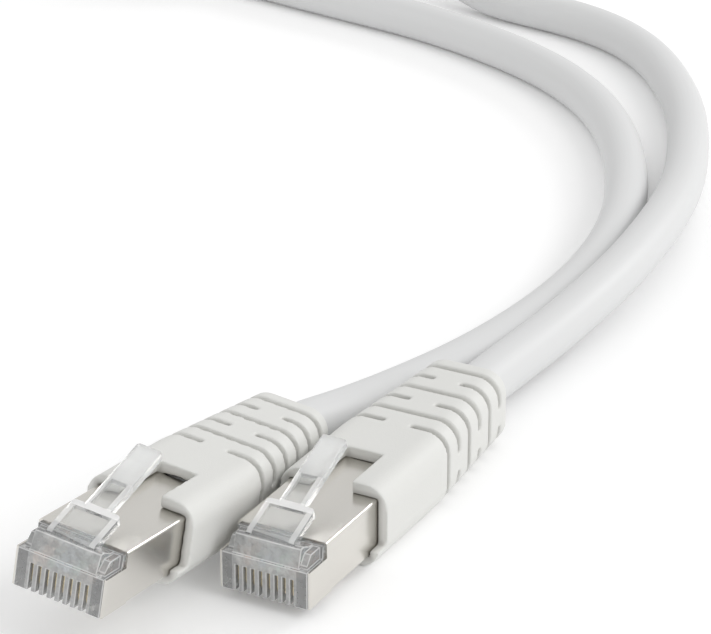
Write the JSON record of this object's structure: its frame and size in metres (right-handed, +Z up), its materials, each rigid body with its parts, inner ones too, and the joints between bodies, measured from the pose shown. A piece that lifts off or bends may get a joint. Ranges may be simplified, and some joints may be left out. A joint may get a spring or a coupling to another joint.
{
  "type": "ethernet patch cable",
  "caption": "Shielded network patch cable with clear modular plugs, slotted strain-relief boots and a round light grey cable laid in a loop with a tied coil",
  "frame": {"origin": "bottom centre of the box round the two plugs and boots, on the surface the cable lies on", "axes": "+Z up; +Y from the plugs' noses back along the plugs toward the cable; +X to the right seen from the noses"},
  "size_m": [0.1702, 0.2815, 0.0189],
  "materials": {
    "clear_plastic": "clear glossy polycarbonate",
    "nickel": "bright nickel plating on sheet metal, softly reflecting",
    "bar_plastic": "milky translucent plastic",
    "boot_grey": "matt soft moulded plastic, light warm grey",
    "screen_foil": "braided and foil screen",
    "jacket_grey": "matt extruded jacket, light grey",
    "contact_gold": "gold plated",
    "tie_strap": "hook and loop strap",
    "wire_orange_white": "insulated wire, orange striped on white",
    "wire_orange": "insulated wire, orange",
    "wire_green_white": "insulated wire, green striped on white",
    "wire_blue": "insulated wire, blue",
    "wire_blue_white": "insulated wire, blue striped on white",
    "wire_green": "insulated wire, green",
    "wire_brown_white": "insulated wire, brown striped on white",
    "wire_brown": "insulated wire, brown"
  },
  "bodies": {
    "patch_cable": {"housing_a": "clear_plastic", "shield_a": "nickel", "load_bar_a": "bar_plastic", "boot_a": "boot_grey", "screen_a": "screen_foil", "cable_end_a": "jacket_grey", "housing_b": "clear_plastic", "shield_b": "nickel", "load_bar_b": "bar_plastic", "boot_b": "boot_grey", "screen_b": "screen_foil", "cable_end_b": "jacket_grey", "contact_a_1": "contact_gold", "contact_a_2": "contact_gold", "contact_a_3": "contact_gold", "contact_a_4": "contact_gold", "contact_a_5": "contact_gold", "contact_a_6": "contact_gold", "contact_a_7": "contact_gold", "contact_a_8": "contact_gold", "contact_b_1": "contact_gold", "contact_b_2": "contact_gold", "contact_b_3": "contact_gold", "contact_b_4": "contact_gold", "contact_b_5": "contact_gold", "contact_b_6": "contact_gold", "contact_b_7": "contact_gold", "contact_b_8": "contact_gold", "wire_a_1": "wire_orange_white", "wire_a_2": "wire_orange", "wire_a_3": "wire_green_white", "wire_a_4": "wire_blue", "wire_a_5": "wire_blue_white", "wire_a_6": "wire_green", "wire_a_7": "wire_brown_white", "wire_a_8": "wire_brown", "wire_b_1": "wire_orange_white", "wire_b_2": "wire_orange", "wire_b_3": "wire_green_white", "wire_b_4": "wire_blue", "wire_b_5": "wire_blue_white", "wire_b_6": "wire_green", "wire_b_7": "wire_brown_white", "wire_b_8": "wire_brown", "cable_run_a": "jacket_grey", "cable_run_b": "jacket_grey", "cable_coil": "jacket_grey", "coil_tie": "tie_strap"},
    "latch_a": {"latch_a": "clear_plastic"},
    "latch_b": {"latch_b": "clear_plastic"}
  },
  "joints": [
    {"name": "latch_a_press", "type": "hinge", "parent": "patch_cable", "child": "latch_a", "pos_m": [-0.00627, -0.03325, 0.01404], "axis": [0.9936, 0, -0.1132], "range_deg": [-15, 0], "stiffness_Nm_per_rad": 0.05},
    {"name": "latch_b_press", "type": "hinge", "parent": "patch_cable", "child": "latch_b", "pos_m": [0.0072, -0.0134, 0.00825], "axis": [1, 0, 0], "range_deg": [-15, 0], "stiffness_Nm_per_rad": 0.05}
  ]
}
